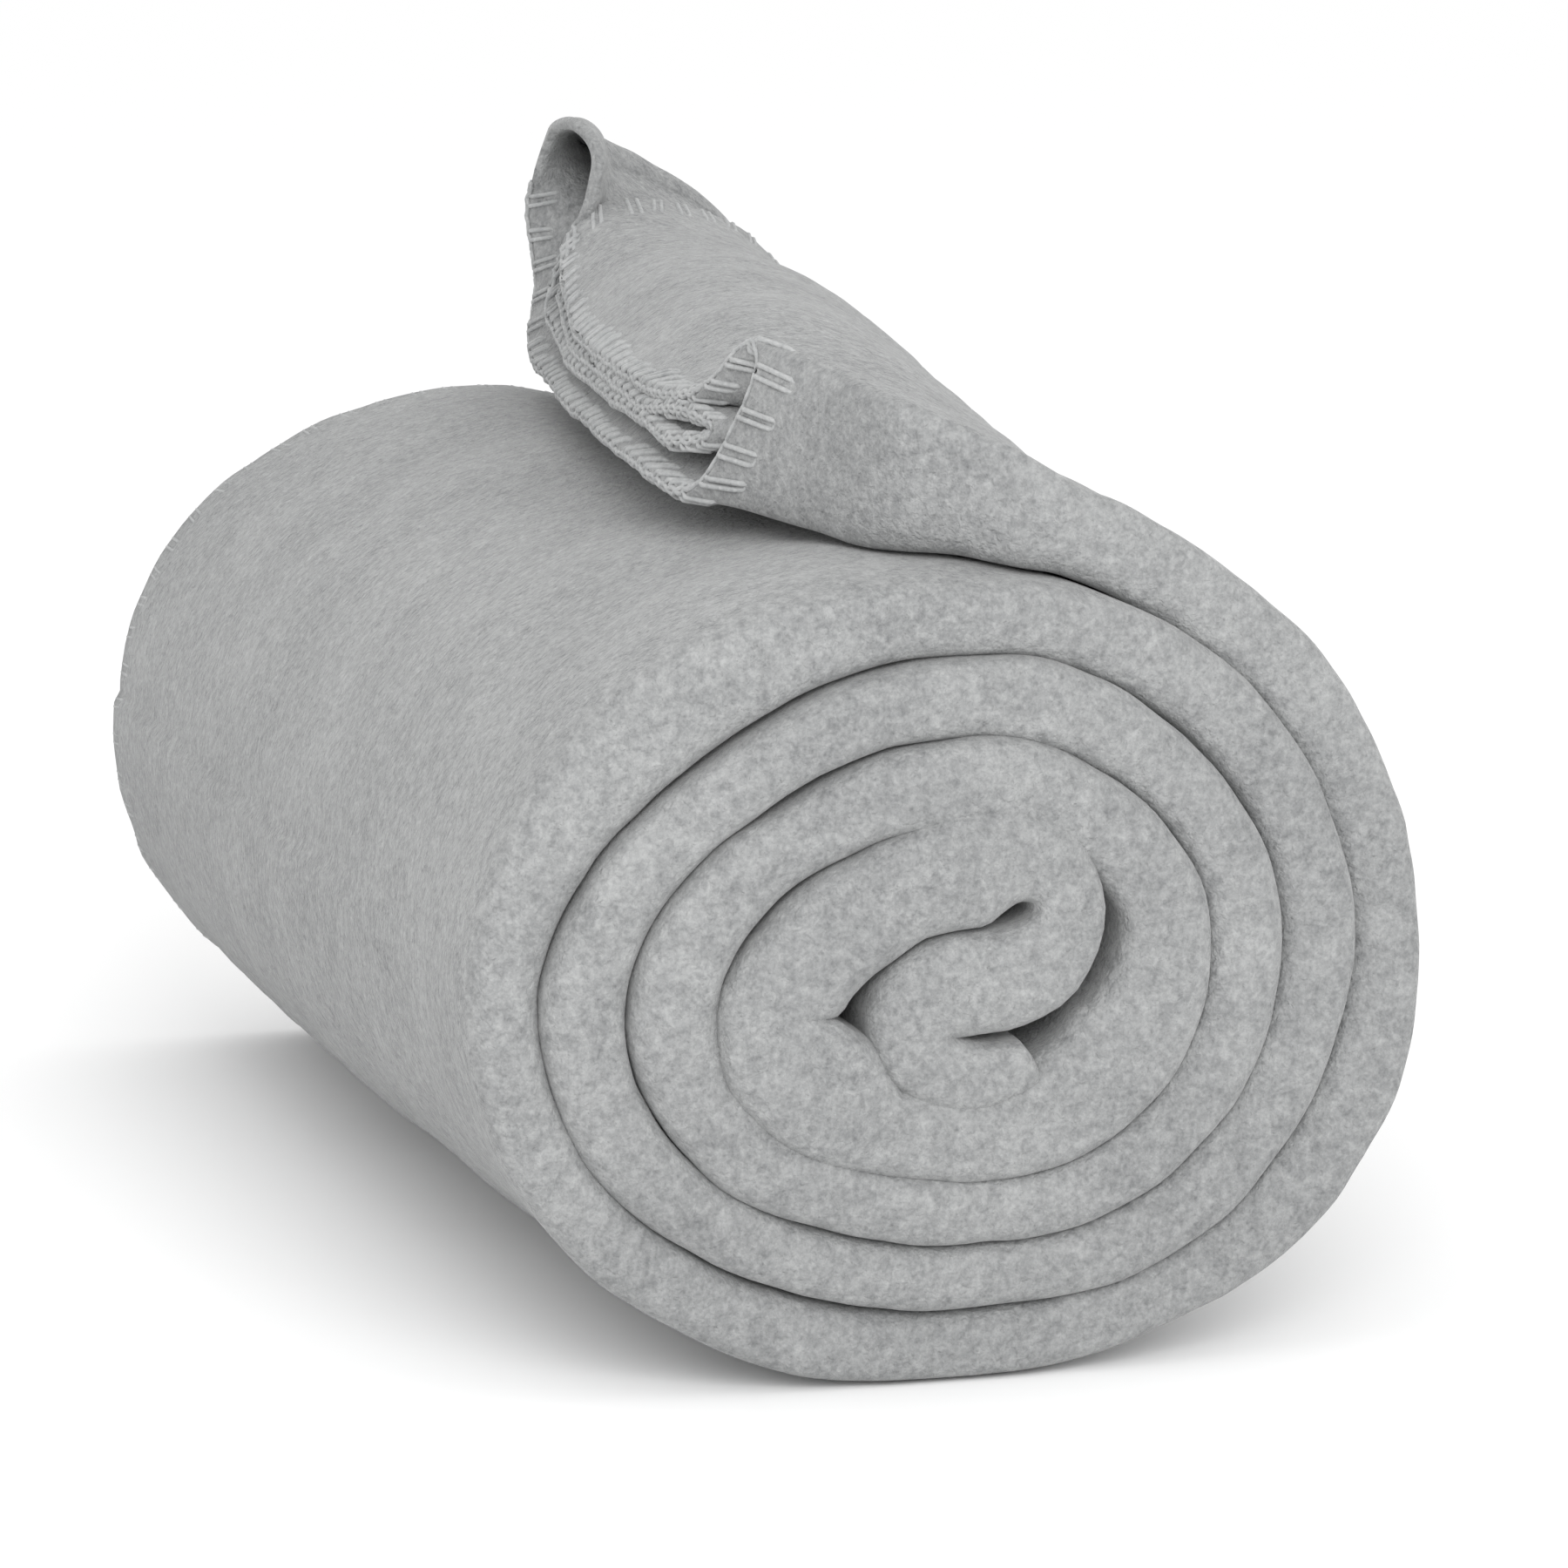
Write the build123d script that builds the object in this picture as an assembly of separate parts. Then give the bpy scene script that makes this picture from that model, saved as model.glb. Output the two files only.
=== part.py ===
"""Fleece throw blanket, folded in quarters lengthwise and rolled up, with a loose tail end on top.

The roll lies on its side, its axis along Y and its spiral face towards -Y. The strip winds outwards
counterclockwise as seen from the front, passes over the top and ends on the upper left.
Four plies make the strip: P1 and Q1 below, Q2 and P2 above. P and Q turn over each other at the front
edge, P1 and Q1 are joined by the rear fold, and Q2 and P2 have stitched hems at the rear.
"""

import math
import os

from build123d import *

os.makedirs("parts", exist_ok=True)

# --- driving dimensions, in mm -------------------------------------------------------------
strip_width = 317.5  # a quarter of the 1270 mm wide throw
pack = 13.0  # four plies of fleece, each with its nap
lap_gap = 0.6  # air between one lap of the roll and the next
ply = 3.1
half_height = 76.2  # outermost lap on the right, measured from the roll's centre upwards
oval_extra = 9.5  # the flat core makes each lap this much wider than tall, per side
core_start = 2.0  # distance of the spiral's inner face from the centre where it starts
settle = 1.5  # how far the bottom lap is pressed flat by the weight
hinge_deg = 52.0  # where the loose tail leaves the roll, from the right side upwards
tail_gap_deg = 1.2  # gap that lets the tail lift clear of the roll
end_deg = 112.0  # where the tail's hem lies
hem_skew_deg = 7.6  # the rear of the hem is pulled back to the right
fold_open = 36.0  # height of the loosened front fold at the hem
hood_height = 49.0  # height of the raised rear fold at the hem
yarn = 2.0  # thickness of the blanket-stitch edging
core_left = -11.0  # the strip's inner end, lying flat inside the first lap
core_right = 17.5
core_raise = 1.0
band_step_deg = 14.0  # spacing of the points that the spiral is drawn through
tube_step = 18.0  # spacing of the points that a hem is drawn through
opened_fold_y = 50.0  # how far back the loosened front fold lies at the hem
opened_rear_y = 15.0  # how far forward the rear fold and the rear hem lie at the hem
opened_hem_y = 45.0
opened_top_rear = 31.0  # height of ply P2 at the hem, at the rear and in the middle
opened_top_mid = 21.0
two_plies = 2 * ply
four_plies = 4 * ply + 0.2

right_turn = (half_height - core_start - (pack - lap_gap)) / pack
bottom_depth = half_height - pack / 4  # the bottom lap is a quarter turn further in
centre_height = bottom_depth - settle
front = -strip_width / 2
rear = strip_width / 2


def wind(deg, depth):
    """Point (x, z) on the spiral, deg from the last pass on the right, depth out from the strip's inner face."""
    turn = right_turn + deg / 360.0
    d = core_start + pack * turn + depth
    a = math.radians(deg)
    return (d + oval_extra) * math.cos(a), centre_height + d * math.sin(a)


def spiral_band(deg_from, deg_to, depth_in, depth_out, y_from, y_to, floor_z):
    """A band of the wound strip between two depths, from y_from to y_to, flattened at floor_z."""
    steps = int((deg_to - deg_from) / band_step_deg)
    degs = [deg_from + (deg_to - deg_from) * i / steps for i in range(steps + 1)]
    inner = [Vector(wind(d, depth_in)[0], y_from, wind(d, depth_in)[1]) for d in degs]
    outer = [Vector(wind(d, depth_out)[0], y_from, wind(d, depth_out)[1]) for d in degs]
    edges = [
        Spline(*inner),
        Line(inner[-1], outer[-1]),
        Spline(*reversed(outer)),
        Line(outer[0], inner[0]),
    ]
    face = make_face(Wire(edges))
    band = extrude(face, amount=y_to - y_from, dir=(0, 1, 0))
    floor_cut = Pos(0, 0, floor_z - half_height) * Box(4 * half_height, 2 * strip_width, 2 * half_height)
    return band - floor_cut


def mix(a, b, share):
    return a + (b - a) * share


def pack_profile(opened):
    """Outline (y from the front edge, height) of the four plies, from tight (0) to fully opened (1)."""
    fold_y = opened_fold_y * opened**1.5
    height = mix(four_plies, fold_open, opened)
    rear_y = strip_width - opened_rear_y * opened
    hood = mix(two_plies, hood_height, opened**1.6)
    top_rear = mix(four_plies, opened_top_rear, opened)
    top_mid = mix(four_plies, opened_top_mid, opened)
    hem_y = strip_width - opened_hem_y * opened
    outer = [
        (rear_y, hood),
        (rear_y + 4.0 * opened, hood * 0.5),
        (rear_y - 6.0 * opened, 0.0),
        (160.0, 0.0),
        (fold_y + 8.0, 0.0),
        (fold_y + 1.5, height * 0.25),
        (fold_y, height * 0.6),
        (fold_y + 4.0, height),
        (fold_y + 26.0, height - 5.0 * opened),
        (150.0, top_mid),
        (hem_y, top_rear),
    ]
    inner = [
        (hem_y, top_rear - two_plies),
        (150.0, top_mid - two_plies),
        (fold_y + 28.0, height - two_plies - 5.0 * opened),
        (fold_y + 11.0, mix(two_plies + 0.4, height - 7.5, opened)),
        (fold_y + 7.5, mix(two_plies + 0.2, height * 0.6, opened)),
        (fold_y + 8.5, mix(two_plies + 0.1, height * 0.3, opened)),
        (fold_y + 13.0, two_plies),
        (160.0, two_plies),
        (rear_y - 16.0, two_plies),
        (rear_y - 7.0, mix(two_plies, hood * 0.5, opened)),
        (rear_y - 3.5, hood),
    ]
    return outer, inner


def on_station(deg, skew, point):
    """Places an outline point (y from the front edge, height) at an angle round the roll."""
    y, height = point
    a = math.radians(deg)
    x0, z0 = wind(deg, 0.0)
    turn = math.radians(skew)
    along = y * math.sin(turn)
    x = x0 + math.cos(a) * height + along * math.sin(a)
    z = z0 + math.sin(a) * height - along * math.cos(a)
    return Vector(x, front + y * math.cos(turn), z)


# --- the wound roll --------------------------------------------------------------------------
first_deg = -360.0 * right_turn
fleece_roll = spiral_band(first_deg, hinge_deg, 0.0, pack - lap_gap, front, rear, 0.0)

# the strip's inner end lies flat inside the first lap and joins it at the top
core_thick = pack - lap_gap
core_z = centre_height + core_raise
core_round = SlotOverall(core_right - core_left, core_thick)
core_plane = Plane(origin=((core_left + core_right) / 2, front, core_z), x_dir=(1, 0, 0), z_dir=(0, 1, 0))
core_face = core_plane * core_round
fleece_roll = fleece_roll + extrude(core_face, amount=strip_width, dir=(0, 1, 0))

# stitched rear hems of the two upper plies, and the hem of the strip's inner end
hem_q = 2.5 * ply - 1.0
hem_p = 3.5 * ply - 0.7
hem_thick = 1.8
band_y = (rear - yarn / 2, rear + yarn / 2)
floor_gap = 1.0
yarn_rear_q = spiral_band(first_deg, hinge_deg, hem_q, hem_q + hem_thick, *band_y, floor_gap)
yarn_rear_p = spiral_band(first_deg, hinge_deg, hem_p, hem_p + hem_thick, *band_y, floor_gap)
core_hem = Box(hem_thick, strip_width - 2 * yarn, 4 * yarn)
yarn_core = Pos(core_right + 0.2, 0, core_z) * core_hem

# --- the loose tail ----------------------------------------------------------------------------
stations = [
    (hinge_deg + tail_gap_deg, 0.0),
    (62.0, 0.07),
    (72.0, 0.24),
    (82.0, 0.44),
    (92.0, 0.64),
    (102.0, 0.83),
    (end_deg, 1.0),
]
sections = []
for deg, opened in stations:
    outer, inner = pack_profile(opened)
    outline = [on_station(deg, hem_skew_deg * opened, p) for p in outer + inner]
    sections.append(Polyline(*outline, close=True).wire())
fleece_tail = Solid.make_loft(sections, ruled=True)


def hem_tube(points):
    close_points = [points[0]]
    for a, b in zip(points, points[1:]):
        count = max(1, int((b - a).length / tube_step))
        close_points += [a + (b - a) * (i + 1) / count for i in range(count)]
    path = Spline(*close_points)
    ring = Plane(origin=path @ 0, z_dir=path % 0) * Circle(yarn / 2)
    return sweep(ring, path=path)


# end hems: P wraps the outside of the opened plies, Q is nested inside it
outer, inner = pack_profile(1.0)
hem_line_p = []
for i, (y, height) in enumerate(outer):
    y_in, height_in = inner[len(inner) - 1 - i]
    hem_line_p.append((mix(y, y_in, 0.25), mix(height, height_in, 0.25)))
hem_line_q = []
for i, (y, height) in enumerate(outer):
    y_in, height_in = inner[len(inner) - 1 - i]
    hem_line_q.append((mix(y, y_in, 0.75), mix(height, height_in, 0.75)))
yarn_end_p = hem_tube([on_station(end_deg, hem_skew_deg, p) for p in hem_line_p])
yarn_end_q = hem_tube([on_station(end_deg, hem_skew_deg, p) for p in hem_line_q])

# rear hems of the two upper plies on the tail
side_p = []
side_q = []
for deg, opened in stations:
    outer, inner = pack_profile(opened)
    hem_y = outer[-1][0]
    top = outer[-1][1]
    side_p.append(on_station(deg, hem_skew_deg * opened, (hem_y, top - 0.5 * ply)))
    side_q.append(on_station(deg, hem_skew_deg * opened, (hem_y, top - 1.45 * ply)))
yarn_side_p = hem_tube(side_p)
yarn_side_q = hem_tube(side_q)

parts = {
    "fleece_roll": fleece_roll,
    "fleece_tail": fleece_tail,
    "yarn_core_hem": yarn_core,
    "yarn_rear_hem_p": yarn_rear_p,
    "yarn_rear_hem_q": yarn_rear_q,
    "yarn_end_hem_p": yarn_end_p,
    "yarn_end_hem_q": yarn_end_q,
    "yarn_side_hem_p": yarn_side_p,
    "yarn_side_hem_q": yarn_side_q,
}

# --- put the origin at the centre of the box, on the floor ----------------------------------------
boxes = [shape.bounding_box() for shape in parts.values()]
low = [min(b.min.X for b in boxes), min(b.min.Y for b in boxes), min(b.min.Z for b in boxes)]
high = [max(b.max.X for b in boxes), max(b.max.Y for b in boxes), max(b.max.Z for b in boxes)]
shift_x = -(low[0] + high[0]) / 2
shift_y = -(low[1] + high[1]) / 2
shift_z = -low[2]
hinge_x, hinge_z = wind(hinge_deg + tail_gap_deg / 2, pack - lap_gap)
print("box", [round(h - b, 2) for b, h in zip(low, high)])
print("shift", round(shift_x, 3), round(shift_y, 3), round(shift_z, 3))
print("hinge", round(hinge_x + shift_x, 3), round(shift_y, 3), round(hinge_z + shift_z, 3))

for name, shape in parts.items():
    placed = Pos(shift_x, shift_y, shift_z) * shape
    print(name, round(placed.volume), "mm3", placed.is_valid)
    export_step(placed, f"parts/{name}.step")
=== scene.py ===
"""Looks of a fleece throw: quartered lengthwise, rolled up and stitched all round its edge.

The throw is one sheet of fleece. Across its width it runs from the free hem of ply Q2 forwards to the
inner front fold, back as Q1, round the rear fold, forwards as P1, round the outer front fold and back as
P2 to its other free hem. That outline is carried along the strip: through the S-shaped core, round the
laps of the roll, and up into the loose tail. Lengths are in millimetres until a mesh is made.
"""

import bpy
import numpy as np
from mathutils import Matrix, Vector


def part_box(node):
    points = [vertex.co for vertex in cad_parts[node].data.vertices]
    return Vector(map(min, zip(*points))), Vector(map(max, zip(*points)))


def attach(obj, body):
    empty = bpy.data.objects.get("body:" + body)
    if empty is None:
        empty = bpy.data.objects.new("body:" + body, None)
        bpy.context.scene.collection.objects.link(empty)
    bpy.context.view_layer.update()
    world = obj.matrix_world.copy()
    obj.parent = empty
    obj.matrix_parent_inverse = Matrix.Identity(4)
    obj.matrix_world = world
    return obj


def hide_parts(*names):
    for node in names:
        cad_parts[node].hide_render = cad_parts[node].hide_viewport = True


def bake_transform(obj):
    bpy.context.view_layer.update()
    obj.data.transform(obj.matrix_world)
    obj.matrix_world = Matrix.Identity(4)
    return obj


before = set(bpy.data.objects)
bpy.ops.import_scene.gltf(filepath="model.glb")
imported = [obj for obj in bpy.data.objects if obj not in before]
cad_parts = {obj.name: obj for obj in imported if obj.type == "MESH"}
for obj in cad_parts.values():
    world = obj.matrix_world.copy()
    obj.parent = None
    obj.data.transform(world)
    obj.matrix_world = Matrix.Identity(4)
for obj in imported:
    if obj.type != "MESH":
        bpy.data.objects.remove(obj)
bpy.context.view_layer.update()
COARSE = 1.0

# --- driving dimensions, in mm and degrees -----------------------------------------------------------
MM = 0.001  # metres in a millimetre
roll_low, roll_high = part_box("fleece_roll")
FRONT = roll_low.y / MM  # the smooth spiral face
WIDTH = roll_high.y / MM - FRONT
CENTRE_X = -3.25
CENTRE_Z = 71.4
OUTER_RADIUS = 80.0
PLY = 2.6

# strip centreline through the core, from the inner end outwards: x to the right and z up from the roll's
# centre, then how far the plies puff out to its outer and its inner side
CORE = np.array([
    (18.6, -16.4, 2.6, 2.6),
    (16.0, -17.6, 5.0, 4.4),
    (8.5, -20.0, 6.4, 4.9),
    (0.5, -18.8, 7.5, 5.4),
    (-4.0, -13.5, 8.5, 6.0),
    (-2.6, -7.0, 9.0, 8.0),
    (4.0, -3.2, 9.8, 8.8),
    (11.5, -1.8, 10.0, 7.8),
    (19.0, 0.9, 9.0, 7.0),
    (23.4, 6.7, 6.8, 6.6),
    (22.3, 13.8, 6.5, 6.8),
    (16.0, 18.5, 7.4, 9.4),
    (6.4, 18.4, 8.0, 12.4),
    (-4.4, 14.5, 7.6, 10.2),
    (-15.6, 9.0, 6.8, 11.8),
    (-24.6, 2.2, 6.4, 13.6),
    (-29.2, -6.8, 6.8, 10.2),
    (-26.2, -16.0, 7.2, 13.6),
    (-18.6, -24.0, 6.8, 15.4),
    (-8.5, -29.3, 6.4, 10.0),
])

# the laps: (turn, reach there, growth a turn) of each half axis of their oval
LAP_REACH = {
    "right": (0.0, 29.0, 12.8),
    "top": (0.25, 17.4, 13.6),
    "left": (0.5, 31.0, 13.3),
    "bottom": (0.75, 31.3, 11.4),
}
FIRST_DEG = 270.0  # the laps go on from the lowest point under the core
SEAM_DEG = 1350.0  # lowest point of the outermost lap, where one sheet piece hands over to the other
LAST_DEG = 1620.0
LEAVE_FRONT_DEG = 1492.0  # where the tail leaves the roll, at the front and at the rear
LEAVE_REAR_DEG = 1477.0
LEAVE_TURN = 160.0  # how far back from the front the change between the two is made
PATH_STEP = 0.5
PATH_WINDOW = 90  # steps searched ahead for the next point on the path
CORE_STEPS = 330  # steps along the path at which the laps may start

# where the three laps cross the upper left, how far each is pressed in there and how much it thickens
PRESS_DEG = 135.0
PRESS_SPREAD = 34.0
PRESS_LAPS = (495.0, 855.0, 1215.0, 1350.0)
PRESS_IN = (3.3, 5.4, 3.1, 0.0)
PRESS_THICK = (-1.25, -0.8, 3.1, 0.0)

# how much further in the plies of the first lap reach, (distance past the core, extra) and (degrees, extra)
CORE_SLACK = ([0, 20, 34, 48, 62, 78], [0, 1.4, 6.4, 7.8, 4.8, 0.6])
LAP_SLACK = ([380, 450, 500, 540, 600, 650], [1.0, 1.0, 2.0, 2.4, 1.6, 0])

# cross outline of the wound strip: where its folds and free hems lie
SQUARENESS = 0.46  # below 1 the outer front fold is squarer than a half ellipse
OUTER_FOLD_Y = 7.0
OUTER_FOLD_DEPTH = 5.2
INNER_FOLD_Y = 9.0
INNER_FOLD_DEPTH = 1.8
REAR_FOLD_BACK = 5.0
REAR_FOLD_DEPTH = 3.0
Q_HEM_BACK = 3.5
P_HEM_BACK = 1.0
RIM_ROUNDING = 3.4  # extra rounding of the rim where nothing lies over the strip
BARE_DEG = (1125.0, 1260.0)  # where that rounding comes in and fades out again
RELEASE_DEG = 1420.0  # where the flare of the rim fades out towards the tail
RAMP = 60.0  # length along the strip over which such changes are made

# thickness of the four plies where they face sideways and up or down, (mean, change from side to side)
PACK_SIDEWAYS = (13.05, -0.25)
PACK_UPRIGHT = (12.5, 1.1)
LOOSENESS = 1.02
CORE_FADE = 45.0  # length over which the core's own reach gives way to the pack's
# unevenness of the outward reach as (depth in mm, size in mm, seed); the outer laps have less of it
WOBBLE = ((0.6, 12, 9), (0.4, 37, 4))
CALM_DEG = 1080.0
CALM_SHARE = 0.6

# swell of the two faces as (at the rim, more at the centre, how deep it goes, unevenness, its size, seed)
FRONT_SWELL = (5.5, -9.5, 70.0, 0.9, 22, 3)
REAR_SWELL = (-1.0, 1.5, 60.0, 1.2, 18, 5)

# swells of the outer laps: (angle, spread, share) of the one at the lower left and of the lower right
LOW_LEFT = (-145.0, 34.0, 0.055)
LOW_LEFT_FROM = (55.0, 90.0)  # distance from the front at which it comes in, and over what length
LOW_RIGHT = (-32.0, 27.0, 0.036)
FLARE = (0.0, 14.0, 0.03)  # (from the front face, spread, share) of the flared rim
WAIST = (48.0, 24.0, 0.018)  # the same of the waist behind it
NO_FLARE = (72.0, 52.0)  # (angle, spread) under the tail, where the rim stays straight
RIM_POWER = 1.3
FLOOR_GAP = 1.7  # lowest height of a middle surface
FLOOR_SOFTNESS = 1.5

# hem of the tail seen along the strip, as (from the front face, height), in one line from ply Q2's free
# corner round to ply P2's. MARKS are where it turns: Q2, inner fold, Q1, rear fold, P1, outer fold, P2.
HEM = np.array([
    (258, 161), (235, 156.6), (180, 154.4), (130, 154.1), (95, 154.8), (71, 157.8),
    (61, 156.8),
    (69, 153.6), (95, 151.9), (130, 151.4), (180, 151.6), (235, 152.6), (258, 154.6), (270, 158.5),
    (273, 165), (270.5, 174), (270, 184),
    (273.5, 191), (281.5, 194.4),
    (290, 192), (295.5, 183), (295.5, 171), (291.5, 159), (286, 150), (273, 145.6), (250, 144.6),
    (190, 144.5), (130, 144.5), (75, 144.2),
    (66, 145), (58, 150.5), (53, 160.5), (51.5, 171.5), (57, 173), (62, 169),
    (70, 163), (85, 158.8), (105, 157.1), (130, 156.9), (180, 157), (220, 158.5), (245, 161.8),
    (260, 166), (268, 171),
])
MARKS = [0, 5, 7, 16, 19, 28, 35, 43]
HEM_BASE = 143.0  # height that the hem's heights are measured over, along the underside
HEM_LEAN = 0.25
# how the outline passes from the lap's to the hem's, as (share of the flap's length, share of the change):
# its height, the forward draw of its folds, and that of the free rear hems of plies P2 and Q2
OPEN_UP = ([0, 0.4, 0.72, 1], [0, 0.16, 0.6, 1])
DRAW_IN = ([0, 0.5, 0.78, 1], [0, 0.03, 0.26, 1])
FREE_IN = ([0, 0.3, 0.72, 1], [0, 0.22, 0.85, 1])
HOLLOW_FROM = 158.0  # hem height above which the raised rear fold opens into a hollow
HOLLOW_SPAN = 22.0

# underside of the tail, as (from the front face, x, height): over the roll's right shoulder, near its top
# and at the hem
SHOULDER = [(0, 27, 130.9), (60, 26, 136.8), (120, 30, 144), (200, 40, 148.5), (317, 49, 150.5)]
CREST = [(0, 4, 135.7), (30, 3, 137.2), (60, 4, 144), (120, 9, 154.5), (200, 17, 157), (317, 22, 152.5)]
HEM_X = [
    (0, -16, 133.5), (25, -20, 134.6), (50, -20, 137.6), (60, -22.5, 139.4), (80, -25, 141.4),
    (105, -23, 143), (130, -20, 143), (225, -6, 143), (285, 3, 143), (300, 5, 143),
]
LEAD_IN = (60, 40, 20, 0)  # degrees before leaving at which the underside still follows the lap
STATION_STEP = 4.0
STATION_END = 321.0
EASE_ROWS = 7.0  # how far the join of lap and flap is eased, in rows, and how often
EASE_PASSES = 40


# --- small helpers ------------------------------------------------------------------------------------
def smoothstep(t):
    t = np.clip(t, 0.0, 1.0)
    return t * t * (3 - 2 * t)


def bell(x, centre, spread):
    return np.exp(-(((x - centre) / spread) ** 2))


def softened(line, passes):
    """The same line with its corners averaged out, its ends kept."""
    for _ in range(passes):
        line[1:-1] = (line[:-2] + 2 * line[1:-1] + line[2:]) / 4
    return line


def run_along(points):
    """Distance along a line of points, at each of them."""
    return np.r_[0, np.cumsum(np.linalg.norm(np.diff(points, axis=0), axis=1))]


def unit(vectors):
    return vectors / np.maximum(np.linalg.norm(vectors, axis=-1), 1e-9)[..., None]


NOISE_TABLE = np.random.default_rng(7).random(8192) * 2 - 1


def noise(points, cell, seed=0):
    """Smooth noise from -1 to 1 at points (..., 3) with features about one cell across."""
    q = np.asarray(points, float) / cell + seed * 17.31
    base = np.floor(q).astype(np.int64)
    f = q - base
    f = f * f * (3 - 2 * f)
    total = np.zeros(q.shape[:-1])
    for dx in (0, 1):
        for dy in (0, 1):
            for dz in (0, 1):
                key = (base[..., 0] + dx) * 73856093 ^ (base[..., 1] + dy) * 19349663
                key = key ^ (base[..., 2] + dz) * 83492791
                near = np.abs(1 - dx - f[..., 0]) * np.abs(1 - dy - f[..., 1]) * np.abs(1 - dz - f[..., 2])
                total += NOISE_TABLE[key & 8191] * near
    return total


def line_noise(v, cell, seed):
    return noise(np.stack([v, 0 * v, 0 * v], -1), cell, seed)


def spline(points, t):
    """Natural cubic spline through points, read at t from 0 to 1 by chord length."""
    p = np.asarray(points, float)
    k = run_along(p)
    h = np.diff(k)
    n = len(p)
    a = np.eye(n)
    b = np.zeros_like(p)
    for i in range(1, n - 1):
        a[i, i - 1] = h[i - 1]
        a[i, i] = 2 * (h[i - 1] + h[i])
        a[i, i + 1] = h[i]
        b[i] = 6 * ((p[i + 1] - p[i]) / h[i] - (p[i] - p[i - 1]) / h[i - 1])
    m = np.linalg.solve(a, b)
    x = np.asarray(t) * k[-1]
    i = np.clip(np.searchsorted(k, x) - 1, 0, n - 2)
    lo = ((k[i + 1] - x) / h[i])[:, None]
    hi = ((x - k[i]) / h[i])[:, None]
    hh = (h[i] ** 2 / 6)[:, None]
    return lo * p[i] + hi * p[i + 1] + ((lo**3 - lo) * m[i] + (hi**3 - hi) * m[i + 1]) * hh


# --- the strip's path seen from the front ---------------------------------------------------------------
def pressed(deg):
    """1 where the laps are pressed flatter at the upper left, 0 elsewhere."""
    off = (np.asarray(deg, float) - PRESS_DEG + 180) % 360 - 180
    return bell(off, 0.0, PRESS_SPREAD)


def lap_point(deg):
    """Centreline of the laps: an oval whose reach to each side grows by one pack a turn."""
    turn = np.asarray(deg, float) / 360
    grow = {side: start + step * (turn - at) for side, (at, start, step) in LAP_REACH.items()}
    inward = 1 - np.clip((turn - 0.75) / 3.25, 0, 1)
    centre_x = 1.0 + 4.5 * inward
    centre_z = -3.5 * inward
    a = np.radians(deg)
    c, s = np.cos(a), np.sin(a)
    side_x = np.where(c > 0, grow["right"] - centre_x, grow["left"] + centre_x)
    side_z = np.where(s > 0, grow["top"] - centre_z, grow["bottom"] + centre_z)
    press = pressed(deg) * np.interp(deg, PRESS_LAPS, PRESS_IN)
    return np.stack([centre_x + (side_x - press) * c, centre_z + (side_z - press) * s], -1)


def make_path():
    """Points along the strip from its inner end to past the tail's, and where the lap angles fall on it."""
    knots = np.vstack([CORE[:, :2], lap_point(np.arange(FIRST_DEG, LAST_DEG + 0.1, 15.0))])
    fine = spline(knots, np.linspace(0, 1, 12000))
    run = run_along(fine)
    v = np.arange(0, run[-1], PATH_STEP)
    # softening rounds off what is left of the corners between the quarter ovals
    path = softened(np.stack([np.interp(v, run, fine[:, k]) for k in (0, 1)], -1), 6)
    tangent = unit(np.gradient(path, axis=0))
    outward = np.stack([tangent[:, 1], -tangent[:, 0]], -1)
    lap_deg = np.arange(FIRST_DEG, LAST_DEG, 1.0)
    lap_v = []
    start = CORE_STEPS
    for point in lap_point(lap_deg):
        window = path[start : start + PATH_WINDOW]
        start += int(np.argmin(((window - point) ** 2).sum(1)))
        lap_v.append(v[start])
    return v, path, outward, lap_deg, np.array(lap_v)


V, PATH, OUTWARD, LAP_DEG, LAP_V = make_path()


def read(table, v):
    """The path, or its outward direction, at distances v along the strip."""
    return np.stack([np.interp(v, V, table[:, k]) for k in (0, 1)], -1)


def along_at(deg):
    """Distance along the strip at a lap angle."""
    return np.interp(deg, LAP_DEG, LAP_V)


def comes_in(v, deg):
    """0 before a lap angle, then rising to 1."""
    return smoothstep((v - along_at(deg)) / RAMP)


def pack_at(v):
    """Thickness of the four plies: thinner under the weight at the bottom, looser on top."""
    n = read(OUTWARD, v)
    pack = 0
    for axis, (mean, change) in enumerate((PACK_SIDEWAYS, PACK_UPRIGHT)):
        pack = pack + n[..., axis] ** 2 * (mean + change * n[..., axis])
    return pack * LOOSENESS


def core_run():
    """Distances along the strip of the core's points."""
    place = []
    start = 0
    for point in CORE[:, :2]:
        window = PATH[start : start + PATH_WINDOW]
        start += int(np.argmin(((window - point) ** 2).sum(1)))
        place.append(V[start])
    return np.array(place)


CORE_V = core_run()


def reach_at(v):
    """How far the plies reach outwards and inwards from the centreline."""
    half = pack_at(v) / 2
    fade = smoothstep((v - CORE_V[-1]) / CORE_FADE)
    outwards = np.interp(v, CORE_V, CORE[:, 2]) * (1 - fade) + half * fade
    lap = along_at(LAP_SLACK[0])
    slack = np.where(v < lap[0], np.interp(v - CORE_V[-1], *CORE_SLACK), np.interp(v, lap, LAP_SLACK[1]))
    inwards = np.interp(v, CORE_V, CORE[:, 3]) * (1 - fade) + half * fade + slack
    lap_deg = np.interp(v, LAP_V, LAP_DEG)
    thick = fade * pressed(lap_deg) * np.interp(lap_deg, PRESS_LAPS, PRESS_THICK)
    wobble = sum(depth * line_noise(v, cell, seed) for depth, cell, seed in WOBBLE)
    wobble = wobble * (1 - CALM_SHARE * comes_in(v, CALM_DEG))
    return outwards + thick + wobble, inwards + thick


# --- cross outline of the four plies ---------------------------------------------------------------------
def fractions(counts):
    """Position along the outline for every column: whole numbers are the MARKS."""
    parts = [i + np.arange(n) / n for i, n in enumerate(int(count / COARSE) for count in counts)]
    return np.r_[np.concatenate(parts), len(counts)]


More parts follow.
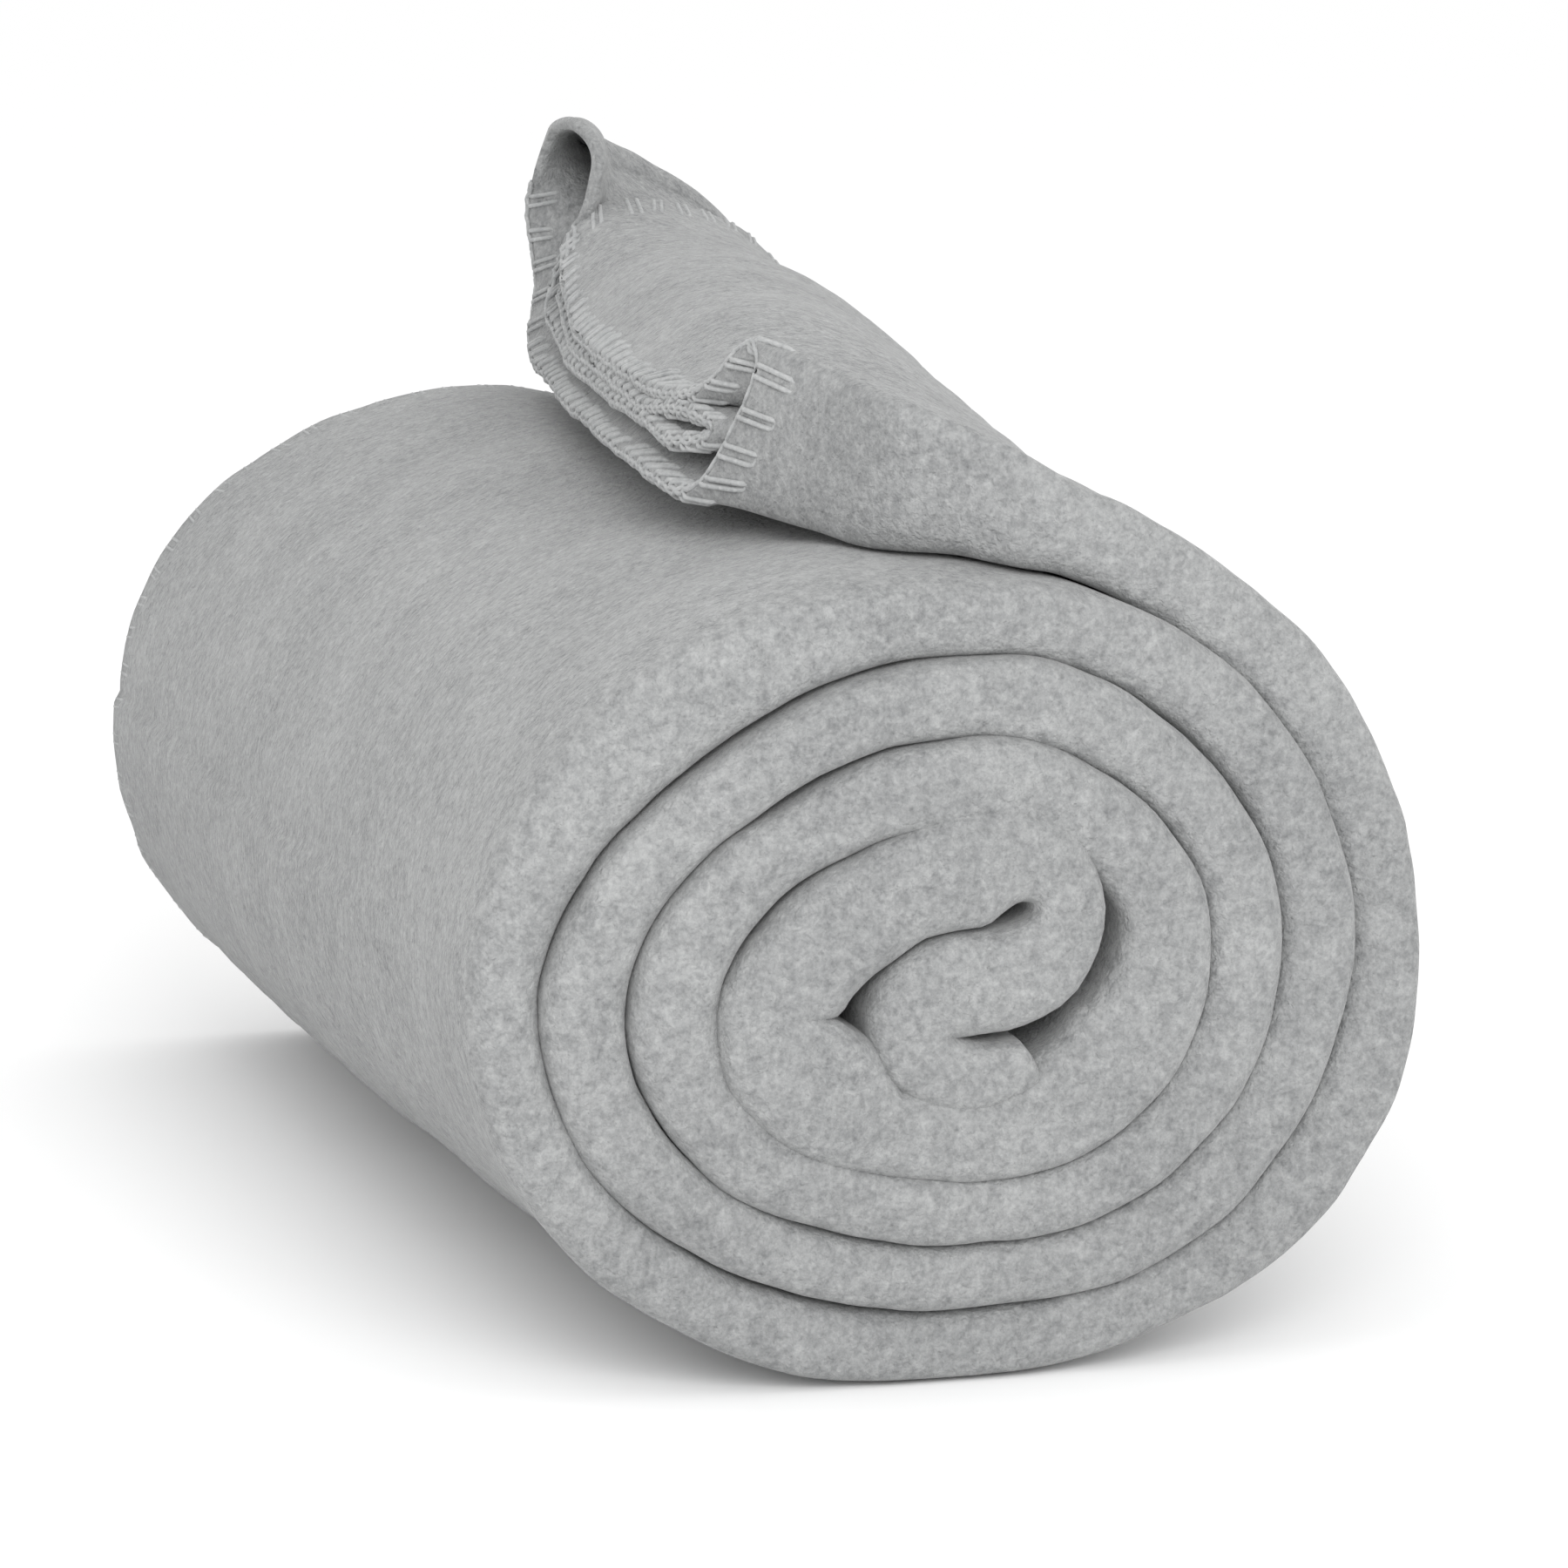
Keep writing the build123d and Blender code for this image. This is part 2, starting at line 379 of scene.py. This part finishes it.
def rolled_outline(f, outwards, inwards, bare):
    """(from the front face, offset outwards) of the outline where the strip is wound.

    bare is 1 where nothing lies over the strip, so that the rim of its front fold rounds off more."""
    k = np.minimum(f.astype(int), 6)
    t = f - k
    c, s = np.cos(np.pi * (t - 0.5)), np.sin(np.pi * (t - 0.5))
    q_hem, rear_fold, p_hem = WIDTH - Q_HEM_BACK, WIDTH - REAR_FOLD_BACK, WIDTH - P_HEM_BACK
    turns = [k == mark for mark in range(6)]
    y = np.select(
        turns,
        [
            q_hem + t * (INNER_FOLD_Y - q_hem),
            INNER_FOLD_Y - INNER_FOLD_DEPTH * c,
            INNER_FOLD_Y + t * (rear_fold - INNER_FOLD_Y),
            rear_fold + REAR_FOLD_DEPTH * c,
            rear_fold + t * (OUTER_FOLD_Y - rear_fold),
            OUTER_FOLD_Y - OUTER_FOLD_DEPTH * np.abs(c) ** SQUARENESS,
        ],
        OUTER_FOLD_Y + t * (p_hem - OUTER_FOLD_Y),
    )
    outer_fold = np.sign(s) * np.abs(s) ** SQUARENESS
    level = 0 * t
    d = np.select(
        turns,
        [level + 1 / 3, -s / 3, level - 1 / 3, -2 / 3 - s / 3, level - 1, outer_fold],
        level + 1,
    )
    rounding = bare * RIM_ROUNDING * np.exp(-(y - 1.5) / 7.5)
    return y, np.where(d > 0, d * (outwards - PLY / 2 - rounding), d * (inwards - PLY / 2))


def hem_outline(f):
    """(from the front face, height) of the tail's hem for each column."""
    run = run_along(HEM)
    return spline(HEM, np.interp(f, np.arange(8), run[MARKS]) / run[-1])


def face_swell(swell, centre):
    rim, more, _, unevenness, cell, seed = swell
    r2 = (centre**2).sum(-1) / OUTER_RADIUS**2
    flat = np.concatenate([centre, 0 * centre[..., :1]], -1)
    return rim + more * (1 - r2) + unevenness * noise(flat, cell, seed)


def face_shift(centre, y):
    """How far the smooth face and the hemmed face swell, for points at y from the front."""
    front_depth, rear_depth = FRONT_SWELL[2], REAR_SWELL[2]
    front = face_swell(FRONT_SWELL, centre) * (1 - smoothstep(y / front_depth))
    return front + face_swell(REAR_SWELL, centre) * smoothstep((y - WIDTH + rear_depth) / rear_depth)


def settle(xz, y, fastened):
    """Outline points with the weight and handling of the cloth: swells, waist, flared rim, floor."""
    angle = np.degrees(np.arctan2(xz[..., 1], xz[..., 0]))
    rim = ((xz**2).sum(-1) / OUTER_RADIUS**2) ** RIM_POWER
    low_left = bell(angle, *LOW_LEFT[:2]) * smoothstep((y - LOW_LEFT_FROM[0]) / LOW_LEFT_FROM[1]) * LOW_LEFT[2]
    low_right = bell(angle, *LOW_RIGHT[:2]) * LOW_RIGHT[2]
    flare = FLARE[2] * bell(y, *FLARE[:2]) - WAIST[2] * bell(y, *WAIST[:2])
    flare = flare * (1 - bell(angle, *NO_FLARE))
    xz = xz * (1 + rim * (low_left + low_right + flare * fastened))[..., None]
    z = xz[..., 1] + CENTRE_Z - FLOOR_GAP
    z = FLOOR_GAP + 0.5 * (z + np.sqrt(z**2 + FLOOR_SOFTNESS))
    return np.stack([xz[..., 0], y, z], -1)


def on_roll(v, f, bare, fastened):
    """Sheet's middle surface where it is wound: (row, 1 or column) distances along the strip, outline f."""
    centre = read(PATH, v)
    y, d = rolled_outline(f, *reach_at(v), bare)
    return settle(centre + read(OUTWARD, v) * d[..., None], y + face_shift(centre, y), fastened)


# --- the tail ---------------------------------------------------------------------------------------------
def by_width(table, y):
    """(x, height) of an underside table at y from the front face."""
    t = np.array(table, float)
    return [np.interp(y, t[:, 0], t[:, 1]), np.interp(y, t[:, 0], t[:, 2])]


def leave_deg(y):
    return LEAVE_FRONT_DEG + (LEAVE_REAR_DEG - LEAVE_FRONT_DEG) * smoothstep(y / LEAVE_TURN)


def tail_base(rows):
    """Underside of the tail, (x, z) at every row of each station across the width."""
    base = []
    for y in np.arange(0, STATION_END, STATION_STEP):
        lap_v = along_at(leave_deg(y) - np.array(LEAD_IN))
        inner = read(PATH, lap_v) - read(OUTWARD, lap_v) * pack_at(lap_v)[:, None] / 2 + [0, CENTRE_Z]
        knots = np.vstack([inner, by_width(SHOULDER, y), by_width(CREST, y), by_width(HEM_X, y)])
        run = run_along(knots)
        base.append(spline(knots, np.linspace(run[len(LEAD_IN) - 1], run[-1], rows) / run[-1]))
    return softened(np.array(base), 5)


def tail_sheet(f, lap_rows, flap_rows):
    """Sheet's middle surface from the seam under the roll to the hem of the tail."""
    base = tail_base(flap_rows)
    step = unit(np.gradient(base, axis=1))
    away = np.stack([step[..., 1], -step[..., 0]], -1)
    s = np.linspace(0, 1, flap_rows)
    lean = smoothstep((s - 0.45) / 0.55)[None, :, None]
    upright = unit(np.array([HEM_LEAN, 1.0]))
    away = unit(away * (1 - lean) + upright * lean)

    pack = pack_at(along_at(LEAVE_FRONT_DEG))
    y_seam, d_seam = rolled_outline(f, pack / 2, pack / 2, 0.0)
    hem = hem_outline(f)
    passes = max(2, flap_rows // 9)
    open_up = softened(np.interp(s, *OPEN_UP), passes)[:, None]
    draw_in = softened(np.interp(s, *DRAW_IN), passes)[:, None]
    height = (d_seam + pack / 2) * (1 - open_up) + (hem[:, 1] - HEM_BASE) * open_up
    face = face_shift(np.array([[60.0, 50.0]]), y_seam)
    free_in = np.interp(s, *FREE_IN)[:, None]
    near_free = smoothstep((np.abs(f - 3.5) - 3.0) / 0.45)
    drawn = draw_in * (1 - near_free) + free_in * near_free
    y = (y_seam + face) * (1 - drawn) + hem[:, 0] * drawn

    at = np.clip(y / STATION_STEP, 0, len(base) - 1.001)
    i = at.astype(int)
    w = (at - i)[..., None]
    rows = np.arange(flap_rows)[:, None]
    under = base[i, rows] * (1 - w) + base[i + 1, rows] * w
    xz = under + (away[i, rows] * (1 - w) + away[i + 1, rows] * w) * height[..., None]
    hollow = smoothstep((hem[:, 1] - HOLLOW_FROM) / HOLLOW_SPAN) * (3.5 - 9.0 * smoothstep(f - 3.0))
    hollow = hollow * (f > 2) * (f < 5)
    flap = np.stack([xz[..., 0] + hollow * open_up**2, y, xz[..., 1]], -1)

    seam = along_at(SEAM_DEG)
    grid = np.linspace(0, 1, lap_rows + 1)[:-1, None]
    v = seam + (along_at(leave_deg(y_seam)) - seam) * grid
    lap = on_roll(v, f, 0.0, 1 - comes_in(v, RELEASE_DEG))
    sheet = np.concatenate([lap, flap])
    near = bell(np.arange(len(sheet)), lap_rows, EASE_ROWS)[1:-1, None, None]
    for _ in range(EASE_PASSES):
        sheet[1:-1] += near * 0.5 * ((sheet[:-2] + sheet[2:]) / 2 - sheet[1:-1])
    return sheet


# --- meshes ---------------------------------------------------------------------------------------------
LIP_SHARE = 0.42  # how far the rounded edge of the cloth stands out, in plies
OTHER_SIDE_U = 3.0  # shift in u, in metres, that keeps the cloth's two sides apart
# the cloth's unevenness as (size in mm, seed, depth in mm)
NAP = ((75, 0, 1.2), (26, 3, 0.55), (8, 6, 0.28), (4.5, 2, 0.16))


def to_frame(points):
    """From millimetres off the roll's centre and front face to the row frame, in metres."""
    return (np.asarray(points) + [CENTRE_X, FRONT, 0]) * MM


def nap(points):
    """Soft unevenness of the cloth, as a shift that neighbouring plies share."""
    shift = np.zeros_like(points)
    for axis, k in enumerate((11, 12, 13)):
        for cell, seed, depth in NAP:
            shift[..., axis] += noise(points, cell, k + seed) * depth
    near_floor = smoothstep((points[..., 2] - 2) / 12)
    shift[..., 2] *= near_floor
    return points + shift


def object_from(name, verts, faces, uvs):
    mesh = bpy.data.meshes.new(name)
    faces = np.asarray(faces, np.int32)
    mesh.vertices.add(len(verts))
    mesh.vertices.foreach_set("co", np.asarray(verts, np.float32).ravel())
    mesh.loops.add(faces.size)
    mesh.loops.foreach_set("vertex_index", faces.ravel())
    mesh.polygons.add(len(faces))
    mesh.polygons.foreach_set("loop_start", np.arange(0, faces.size, faces.shape[1], dtype=np.int32))
    layer = mesh.uv_layers.new(name="cloth")
    layer.data.foreach_set("uv", np.asarray(uvs, np.float32)[faces.ravel()].ravel())
    rest = mesh.attributes.new("rest_place", "FLOAT_VECTOR", "POINT")
    rest.data.foreach_set("vector", np.asarray(verts, np.float32).ravel())
    mesh.update(calc_edges=True)
    mesh.polygons.foreach_set("use_smooth", np.ones(len(faces), bool))
    mesh.validate()
    obj = bpy.data.objects.new(name, mesh)
    bpy.context.scene.collection.objects.link(obj)
    return obj


def sheet_mesh(name, middle, v_start):
    """Closed cloth of one ply's thickness round a middle surface: both sides, then its rounded edge.

    middle has rows along the strip and columns across; v_start is the strip's length before its first row."""
    rows, cols = middle.shape[:2]
    normal = unit(np.cross(np.gradient(middle, axis=0), np.gradient(middle, axis=1)))
    across = run_along(middle[rows // 2])
    along = v_start + run_along(middle[:, cols // 2])
    uv = np.stack(np.broadcast_arrays(across[None, :], along[:, None]), -1).reshape(-1, 2) * MM
    index = np.arange(rows * cols).reshape(rows, cols)
    quads = np.stack([index[:-1, :-1], index[:-1, 1:], index[1:, 1:], index[1:, :-1]], -1).reshape(-1, 4)
    ring = np.concatenate([index[0, :-1], index[:-1, -1], index[-1, :0:-1], index[:0:-1, 0]])
    beside = np.concatenate([index[1, :-1], index[:-1, -2], index[-2, :0:-1], index[:0:-1, 1]])
    flat = middle.reshape(-1, 3)
    lip = flat[ring] + unit(flat[ring] - flat[beside]) * PLY * LIP_SHARE
    parts = (middle + normal * PLY / 2, middle - normal * PLY / 2, lip)
    verts = np.concatenate([to_frame(part).reshape(-1, 3) for part in parts])
    uvs = np.concatenate([uv, uv + [OTHER_SIDE_U, 0], uv[ring]])
    other = rows * cols  # index of the other side's first point
    mid = 2 * other + np.arange(len(ring))
    ring_next, mid_next = np.roll(ring, -1), np.roll(mid, -1)
    faces = [
        quads[:, ::-1],
        quads + other,
        np.stack([ring, ring_next, mid_next, mid], -1),
        np.stack([mid, mid_next, ring_next + other, ring + other], -1),
    ]
    return object_from(name, verts, np.concatenate(faces), uvs), normal


def tubes_mesh(name, lines, radius, sides):
    """One mesh of round yarn along each line of points, closed at both ends."""
    verts, faces, uvs = [], [], []
    turn = np.linspace(0, 2 * np.pi, sides, endpoint=False)
    offset = 0
    for line in lines:
        p = np.asarray(line, float)
        t = unit(np.gradient(p, axis=0))
        side = unit(np.cross(t, [0.31, 0.17, 0.93]))
        up = np.cross(side, t)
        thick = np.full(len(p), radius)
        thick[[0, -1]] *= 0.35
        spokes = side[:, None, :] * np.cos(turn)[None, :, None] + up[:, None, :] * np.sin(turn)[None, :, None]
        verts.append((p[:, None, :] + thick[:, None, None] * spokes).reshape(-1, 3))
        uv = np.stack(np.broadcast_arrays(turn[None, :] * 0.3, run_along(p)[:, None]), -1)
        uvs.append(uv.reshape(-1, 2) * MM)
        index = offset + np.arange(len(p) * sides).reshape(len(p), sides)
        nxt = np.roll(index, -1, axis=1)
        faces.append(np.stack([index[:-1], nxt[:-1], nxt[1:], index[1:]], -1).reshape(-1, 4))
        for row, order in ((index[0], -1), (index[-1], 1)):
            fan = [[row[0], row[i], row[i + 1], row[i + 2]][::order] for i in range(1, sides - 2, 2)]
            faces.append(np.array(fan))
        offset += len(p) * sides
    return object_from(name, to_frame(np.concatenate(verts)), np.concatenate(faces), np.concatenate(uvs))


# wound part of the strip, from its inner end to the seam under the roll
INNER_END = 2.0
wound_f = fractions((46, 8, 46, 8, 50, 22, 80))
wound_rows = len(np.arange(INNER_END, along_at(SEAM_DEG) + 0.1, 2.2 * COARSE))
wound_v = np.linspace(INNER_END, along_at(SEAM_DEG), wound_rows)[:, None]
wound_bare = comes_in(wound_v, BARE_DEG[0]) * (1 - comes_in(wound_v, BARE_DEG[1]))
wound_middle = nap(on_roll(wound_v, wound_f, wound_bare, 1.0))
wound, wound_normal = sheet_mesh("fleece_wound", wound_middle, 0.0)
wound_cloth = (wound_middle, wound_normal)

# last half lap and the tail
tail_f = fractions((60, 14, 90, 26, 130, 40, 150))
tail_middle = nap(tail_sheet(tail_f, int(95 / COARSE), int(84 / COARSE)))
tail, tail_normal = sheet_mesh("fleece_loose_end", tail_middle, along_at(SEAM_DEG))
tail_cloth = (tail_middle, tail_normal)


# --- blanket stitch ----------------------------------------------------------------------------------------
stitch_rng = np.random.default_rng(21)
SPACING = 7.4
SAMPLE = 0.7  # between resampled edge points
PURL_SAMPLE = 0.8
PURL_TWIST = 0.55
LEG_POINTS = 25


def blanket_stitch(edge, inner, normal, reach=9.5, lip=1.4, proud=0.12):
    """Edge stitching as yarn lines: edge points, unit directions into the cloth and out of its face.

    reach is how far the legs go in, lip how far the purl stands off the edge, proud the yarn off the face."""
    packed = np.concatenate([edge, inner, normal], 1)
    run = run_along(packed)
    fine = np.linspace(0, run[-1], max(2, int(run[-1] / SAMPLE) + 1))
    packed = np.stack([np.interp(fine, run, column) for column in packed.T], -1)
    edge, inner, normal = packed[:, :3], unit(packed[:, 3:6]), unit(packed[:, 6:])
    run = run_along(edge)  # the stitches are spaced along the edge alone

    def at(x, table):
        return np.stack([np.interp(x, run, table[:, k]) for k in range(3)], -1)

    k = np.arange(0, run[-1], PURL_SAMPLE)
    purl = at(k, edge - inner * lip)
    wave = np.sin(k / SPACING * 2 * np.pi)[:, None]
    twist = at(k, normal) * wave * PURL_TWIST
    dip = 0.35 * np.abs(wave)
    lines = [purl + twist + at(k, inner) * dip, purl - twist + at(k, inner) * (dip + 0.1)]

    t = np.linspace(0, 1, LEG_POINTS)  # in along one leg of the loop and back along the other
    leg = np.interp(t, [0, 0.46, 0.54, 1], [0, 1, 1, 0])
    leg = smoothstep(leg) * 0.25 + leg * 0.75
    bend = np.cos(np.pi * smoothstep((t - 0.38) / 0.24))
    lift = PLY / 2 + proud - 0.5 * smoothstep((leg - 0.8) / 0.2) - 1.25 * (1 - smoothstep(leg / 0.14))
    x = SPACING * 0.6
    while x < run[-1] - 2:
        for face in (1, -1):
            long_reach = reach * stitch_rng.uniform(0.82, 1.12)
            slant = stitch_rng.uniform(-0.9, 0.9)
            half = stitch_rng.uniform(0.75, 1.15)
            place = np.clip(x + half * bend + slant * leg, 0, run[-1])
            into = at(place, inner) * (leg * long_reach - 1.1)[:, None]
            lines.append(at(place, edge) + into + at(place, normal) * face * lift[:, None])
        x += SPACING * stitch_rng.uniform(0.88, 1.12)
    return lines


def columns_between(f, low, high):
    return np.flatnonzero((f >= low) & (f <= high))


def along_row(cloth, columns, row_in, row_at):
    """Edge, direction inwards and face normal along one row of a sheet: the hem of an end."""
    middle, normal = cloth
    edge = middle[row_at, columns]
    return edge, unit(middle[row_in, columns] - edge), normal[row_at, columns]


def along_column(cloth, col_in, col_at):
    """Edge, direction inwards and face normal along one column of a sheet: the hem of a side."""
    middle, normal = cloth
    edge = middle[:, col_at]
    return edge, unit(middle[:, col_in] - edge), normal[:, col_at]


# the end hem of the outer pair in three stretches, (from, to, reach): underneath, round the corner, on top
P_STRETCHES = ((4.04, 4.86, 6.5), (4.85, 6.22, 10.0), (6.21, 7.0, 5.5))
end_p_lines = []
for low, high, reach in P_STRETCHES:
    columns = columns_between(tail_f, low, high)
    end_p_lines += blanket_stitch(*along_row(tail_cloth, columns, -5, -1), reach=reach)
yarn_end_p = tubes_mesh("yarn_loose_end_p", end_p_lines, 0.5, 6)
end_q_edge = along_row(tail_cloth, columns_between(tail_f, 0, 2.96), -5, -1)
yarn_end_q = tubes_mesh("yarn_loose_end_q", blanket_stitch(*end_q_edge, reach=6.0), 0.5, 6)
side_p_lines = blanket_stitch(*along_column(tail_cloth, -6, -1), lip=0.9, proud=-0.08)
yarn_side_p = tubes_mesh("yarn_loose_side_p", side_p_lines, 0.5, 6)
yarn_side_q = tubes_mesh("yarn_loose_side_q", blanket_stitch(*along_column(tail_cloth, 4, 0)), 0.55, 6)
rear_p_lines = blanket_stitch(*along_column(wound_cloth, -4, -1), lip=0.1, proud=-0.22)
yarn_rear_p = tubes_mesh("yarn_wound_rear_p", rear_p_lines, 0.42, 5)
rear_q_lines = blanket_stitch(*along_column(wound_cloth, 3, 0), lip=0.9)
yarn_rear_q = tubes_mesh("yarn_wound_rear_q", rear_q_lines, 0.45, 5)
core_edge = along_row(wound_cloth, columns_between(wound_f, 0, 4.9), 4, 0)
yarn_core = tubes_mesh("yarn_wound_core", blanket_stitch(*core_edge), 0.45, 5)


# --- materials --------------------------------------------------------------------------------------------
# (size in mm, share) of the spots that make up the heather, and where its two colours begin and end
HEATHER = ((34.0, 0.17), (7.0, 0.13), (2.1, 0.38), (0.8, 0.32))
HEATHER_RANGE = (0.36, 0.64)


def noise_node(tree, place, size, detail, roughness):
    node = tree.nodes.new("ShaderNodeTexNoise")
    node.inputs["Scale"].default_value = 1 / (size * MM)
    node.inputs["Detail"].default_value = detail
    node.inputs["Roughness"].default_value = roughness
    node.inputs["Distortion"].default_value = 0.3
    tree.links.new(place.outputs["Vector"], node.inputs["Vector"])
    return node


def cloth_material(name, dark, light, bumps, sheen):
    """Heathered cloth: colour drifts between dark and light; bumps are (size in mm, depth in mm)."""
    mat = bpy.data.materials.new(name)
    mat.use_nodes = True
    tree = mat.node_tree
    link = tree.links.new
    shader = tree.nodes["Principled BSDF"]
    shader.inputs["Roughness"].default_value = 0.92
    shader.inputs["Specular IOR Level"].default_value = 0.12
    shader.inputs["Sheen Weight"].default_value = sheen
    shader.inputs["Sheen Roughness"].default_value = 0.45
    place = tree.nodes.new("ShaderNodeAttribute")
    place.attribute_name = "rest_place"
    mixed = None
    for size, share in HEATHER:
        spot = noise_node(tree, place, size, 3.0, 0.6)
        scaled = tree.nodes.new("ShaderNodeMath")
        scaled.operation = "MULTIPLY"
        scaled.inputs[1].default_value = share
        link(spot.outputs["Fac"], scaled.inputs[0])
        if mixed is None:
            mixed = scaled
        else:
            added = tree.nodes.new("ShaderNodeMath")
            added.operation = "ADD"
            link(mixed.outputs[0], added.inputs[0])
            link(scaled.outputs[0], added.inputs[1])
            mixed = added
    ramp = tree.nodes.new("ShaderNodeValToRGB")
    for element, position, colour in zip(ramp.color_ramp.elements, HEATHER_RANGE, (dark, light)):
        element.position = position
        element.color = (*colour, 1)
    link(mixed.outputs[0], ramp.inputs["Fac"])
    link(ramp.outputs["Color"], shader.inputs["Base Color"])
    previous = None
    for size, depth in bumps:
        grain = noise_node(tree, place, size, 2.0, 0.65)
        bump = tree.nodes.new("ShaderNodeBump")
        bump.inputs["Strength"].default_value = 1.0
        bump.inputs["Distance"].default_value = depth * MM
        link(grain.outputs["Fac"], bump.inputs["Height"])
        if previous is not None:
            link(previous.outputs["Normal"], bump.inputs["Normal"])
        previous = bump
    link(previous.outputs["Normal"], shader.inputs["Normal"])
    return mat


FLEECE_BUMPS = ((4.5, 0.3), (1.5, 0.65), (0.6, 0.25))
fleece = cloth_material("fleece", (0.166, 0.170, 0.172), (0.354, 0.358, 0.357), FLEECE_BUMPS, 0.25)
yarn = cloth_material("yarn", (0.29, 0.297, 0.30), (0.44, 0.445, 0.443), ((0.9, 0.35),), 0.2)

for obj in (wound, tail):
    obj.data.materials.append(fleece)
yarns = (yarn_end_p, yarn_end_q, yarn_side_p, yarn_side_q, yarn_rear_p, yarn_rear_q, yarn_core)
for obj in yarns:
    obj.data.materials.append(yarn)

# --- how the pieces move; the model's own parts are hidden --------------------------------------------------
for obj in (wound, yarn_rear_p, yarn_rear_q, yarn_core):
    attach(obj, "roll")
for obj in (tail, yarn_end_p, yarn_end_q, yarn_side_p, yarn_side_q):
    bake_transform(obj)

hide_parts("fleece_roll")
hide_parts("fleece_tail")
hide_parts("yarn_core_hem")
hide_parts("yarn_rear_hem_p")
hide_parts("yarn_rear_hem_q")
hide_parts("yarn_end_hem_p")
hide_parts("yarn_end_hem_q")
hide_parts("yarn_side_hem_p")
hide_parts("yarn_side_hem_q")

# --- floor, light and camera ----------------------------------------------------------------------------------
bpy.ops.mesh.primitive_plane_add(size=12, location=(0, 2, 0))
floor = bpy.context.object
floor.name = "floor"
floor_mat = bpy.data.materials.new("floor")
floor_mat.use_nodes = True
floor_shader = floor_mat.node_tree.nodes["Principled BSDF"]
floor_shader.inputs["Base Color"].default_value = (0.96, 0.96, 0.96, 1)
floor_shader.inputs["Roughness"].default_value = 1.0
floor_shader.inputs["Specular IOR Level"].default_value = 0.0
floor.data.materials.append(floor_mat)

world = bpy.data.worlds.new("studio")
bpy.context.scene.world = world
world.use_nodes = True
world.node_tree.nodes["Background"].inputs["Color"].default_value = (1, 1, 1, 1)
world.node_tree.nodes["Background"].inputs["Strength"].default_value = 1.04


def face_towards(obj, place, aim):
    obj.location = place
    obj.rotation_euler = (Vector(aim) - Vector(place)).to_track_quat("-Z", "Y").to_euler()
    bpy.context.scene.collection.objects.link(obj)


def area_light(name, size, watts, place, aim):
    data = bpy.data.lights.new(name, "AREA")
    data.shape = "RECTANGLE"
    data.size, data.size_y = size
    data.energy = watts
    face_towards(bpy.data.objects.new(name, data), place, aim)


area_light("top_left", (0.9, 0.9), 0.8, (-0.7, 0.1, 1.1), (0, 0, 0.08))
area_light("front", (0.7, 0.7), 9.0, (-0.15, -1.2, 0.62), (0, 0, 0.07))

camera_data = bpy.data.cameras.new("camera")
camera_data.sensor_width = 36.0
camera_data.lens = 136.2
camera_data.shift_x = 0.0696
camera_data.shift_y = 0.0114
camera = bpy.data.objects.new("camera", camera_data)
face_towards(camera, (-0.2942, -1.0592, 0.2554), (-0.00325, -0.00075, 0.0726))
bpy.context.scene.camera = camera
bpy.context.scene.view_settings.view_transform = "Standard"
